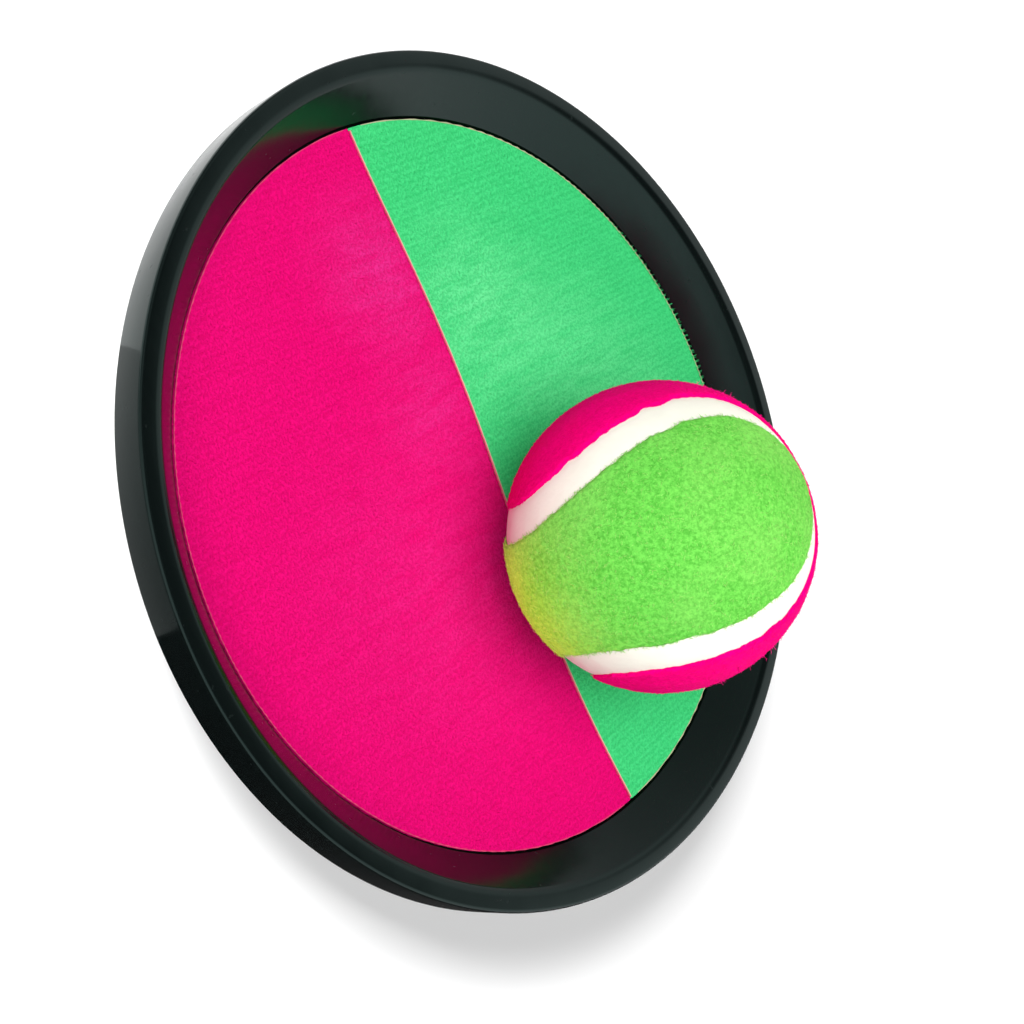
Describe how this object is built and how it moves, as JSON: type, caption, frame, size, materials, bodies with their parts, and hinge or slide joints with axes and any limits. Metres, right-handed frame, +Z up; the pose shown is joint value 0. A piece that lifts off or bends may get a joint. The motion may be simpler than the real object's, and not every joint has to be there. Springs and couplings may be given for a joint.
{
  "type": "hook and loop catch set",
  "caption": "Round dish paddle with half-round grip pads in its recessed face, a hand strap across its back, and a felt ball that clings to the pads.",
  "frame": {"origin": "point on the table under the centre of the dish, at the height of the strap's underside", "axes": "+Z up along the dish's axis, out of the pads; +Y along the seam between the pads; +X towards the green pad"},
  "size_m": [0.185, 0.185, 0.083],
  "materials": {
    "dish_plastic": "moulded black plastic with a soft gloss",
    "pad_pink": "hot pink woven grip fabric in fine rows",
    "pad_green": "bright green woven grip fabric in fine rows",
    "webbing": "black woven webbing",
    "loop_tape": "black brushed loop tape",
    "hook_tape": "black hook tape",
    "ball_core": "plain dark rubber",
    "felt_lime": "lime green needled felt",
    "felt_magenta": "magenta needled felt",
    "ball_seam": "white rubber seam"
  },
  "bodies": {
    "root": {"dish_shell": "dish_plastic", "pad_pink": "pad_pink", "pad_green": "pad_green", "hand_strap": "webbing", "strap_loop_tape": "loop_tape", "strap_hook_tape": "hook_tape", "ball_core": "ball_core", "ball_felt_lime": "felt_lime", "ball_felt_magenta": "felt_magenta", "ball_seam": "ball_seam"}
  },
  "joints": []
}
